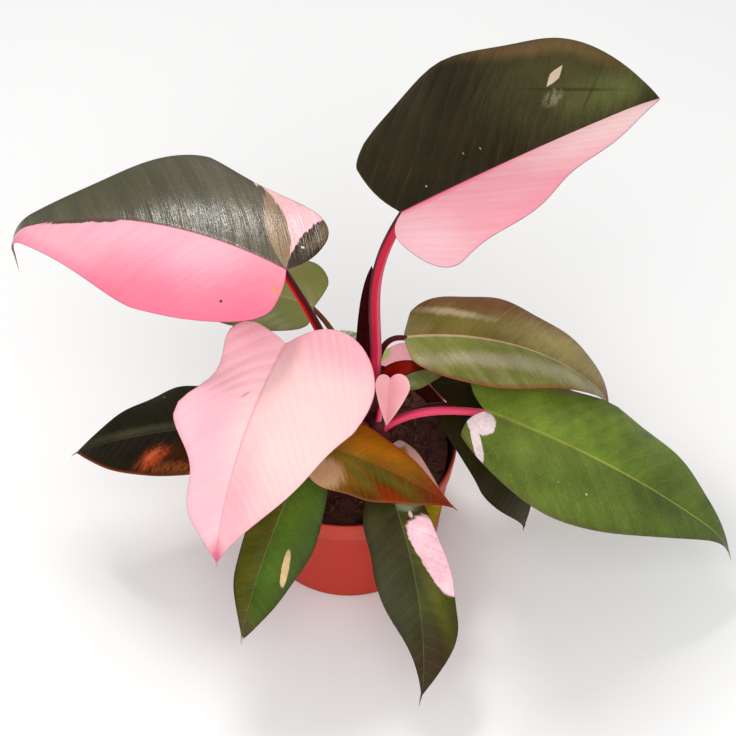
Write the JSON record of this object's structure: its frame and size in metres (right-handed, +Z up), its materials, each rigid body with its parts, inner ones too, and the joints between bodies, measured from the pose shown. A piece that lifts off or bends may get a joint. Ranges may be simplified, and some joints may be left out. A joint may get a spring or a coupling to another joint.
{
  "type": "potted variegated philodendron",
  "caption": "Pink-variegated philodendron with heart-shaped leaves on slender petioles, growing in a round nursery pot that rests on its flat base.",
  "frame": {"origin": "centre of the pot's flat underside", "axes": "+Z up, -Y towards the plant's front, +X to its right seen from the front"},
  "size_m": [0.3859, 0.2405, 0.2766],
  "materials": {
    "pot_plastic": "satin terracotta-red plastic, its collar a little lighter",
    "potting_mix": "damp dark peat mix with fibres",
    "stem_skin": "smooth maroon to green stem",
    "leaf_half_dark_half_pink": "glossy, one half near black, the other pink",
    "leaf_olive_and_pink": "glossy, olive-black with pink on one half",
    "leaf_pink": "satin pink, cream in the middle",
    "leaf_green": "satin mid green, some with a pink patch",
    "leaf_bronze": "satin bronze to olive",
    "leaf_dark": "glossy olive-black",
    "leaf_pale": "pale marbled green",
    "leaf_yellowing": "yellow-green with a cream band",
    "sheath_maroon": "dark maroon",
    "sheath_brick": "brick red"
  },
  "bodies": {
    "root": {"pot": "pot_plastic", "soil": "potting_mix", "stem_back": "stem_skin", "stem_right": "stem_skin", "stem_front": "stem_skin", "leaf_tall_right": "leaf_half_dark_half_pink", "leaf_tall_left": "leaf_olive_and_pink", "leaf_pink_front": "leaf_pink", "leaf_green_back": "leaf_green", "leaf_bronze_right": "leaf_bronze", "leaf_green_right": "leaf_green", "leaf_dark_right": "leaf_dark", "leaf_pink_small": "leaf_pink", "leaf_pale_back": "leaf_pale", "leaf_pink_back": "leaf_pink", "leaf_bronze_front": "leaf_bronze", "leaf_yellowing_front": "leaf_yellowing", "leaf_green_front": "leaf_green", "leaf_dark_pink_front": "leaf_olive_and_pink", "leaf_dark_left": "leaf_dark", "sheath_tall": "sheath_maroon", "sheath_red": "sheath_brick"}
  },
  "joints": []
}
